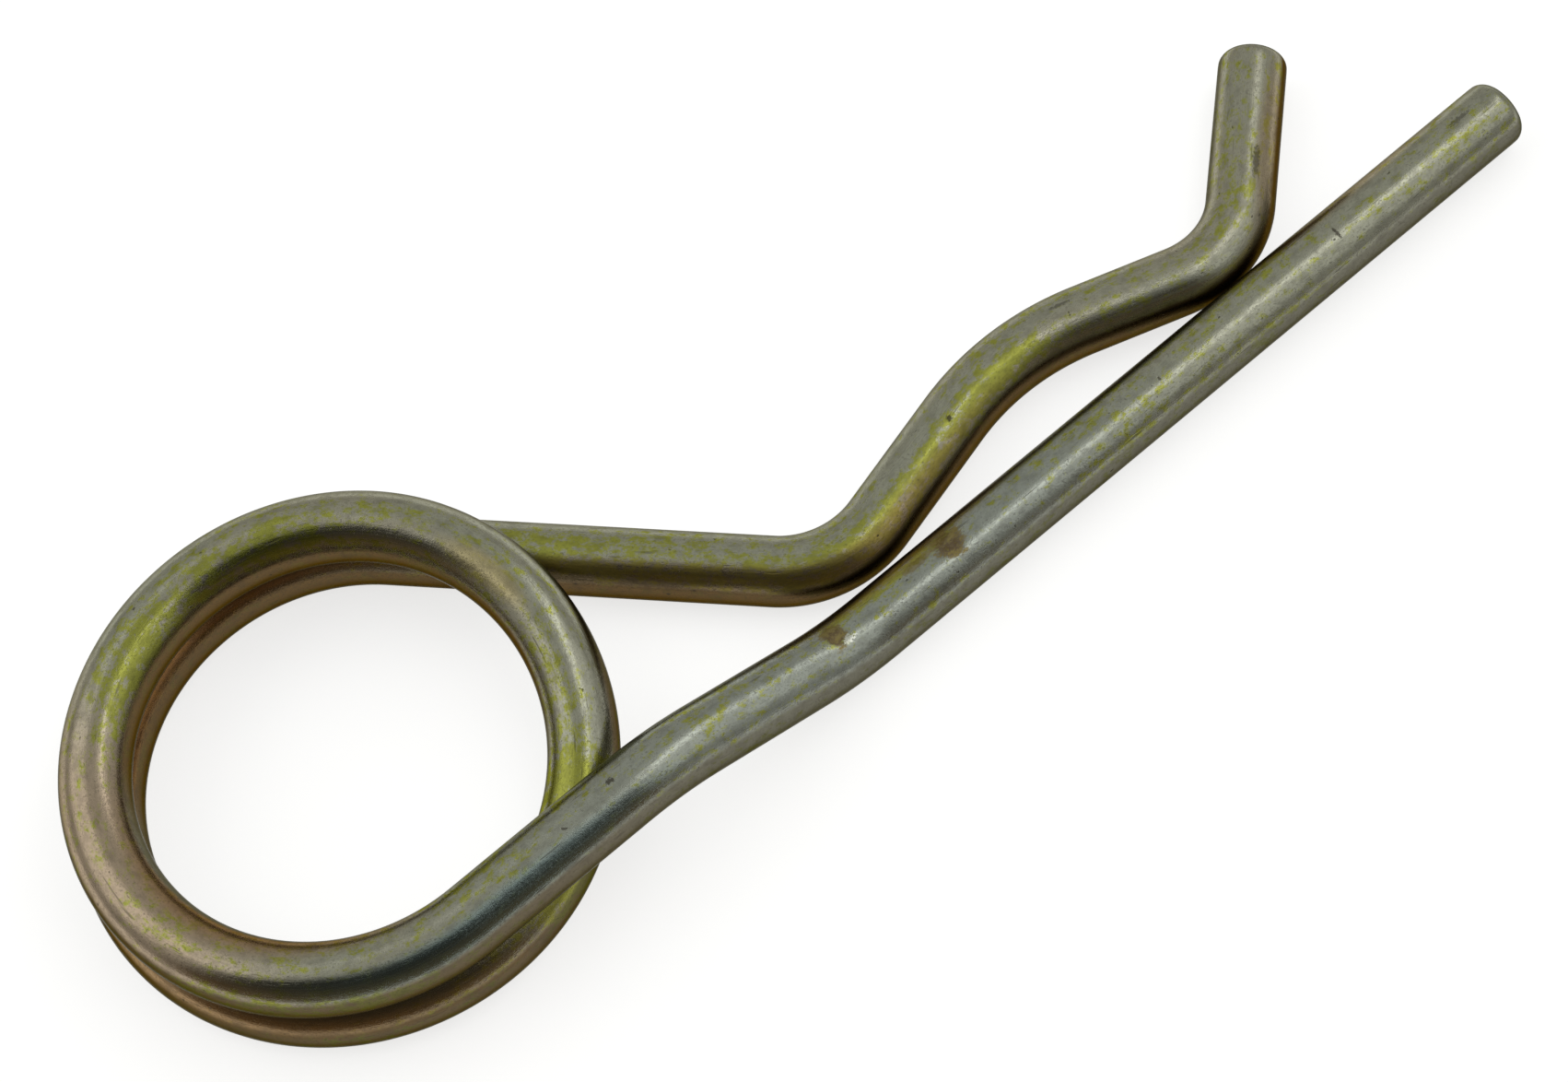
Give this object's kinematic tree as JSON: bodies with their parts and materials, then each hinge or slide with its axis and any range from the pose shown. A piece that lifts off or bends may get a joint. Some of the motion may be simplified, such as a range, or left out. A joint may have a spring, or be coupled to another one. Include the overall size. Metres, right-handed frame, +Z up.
{
  "type": "hitch r clip pin",
  "caption": "Spring wire clip with a straight leg for a shaft's cross hole, a close coil and a curved leg that snaps over the shaft, ending in a turned-out lip.",
  "frame": {"origin": "centre of the box on the surface the clip lies on", "axes": "+X along the straight leg from the coil to its tip, +Y towards the curved leg, +Z up along the coil's axis"},
  "size_m": [0.1126, 0.0389, 0.0104],
  "materials": {
    "zinc_wire": "yellow-passivated zinc on spring steel, mottled and lightly scratched"
  },
  "bodies": {
    "root": {"spring_wire": "zinc_wire"}
  },
  "joints": []
}
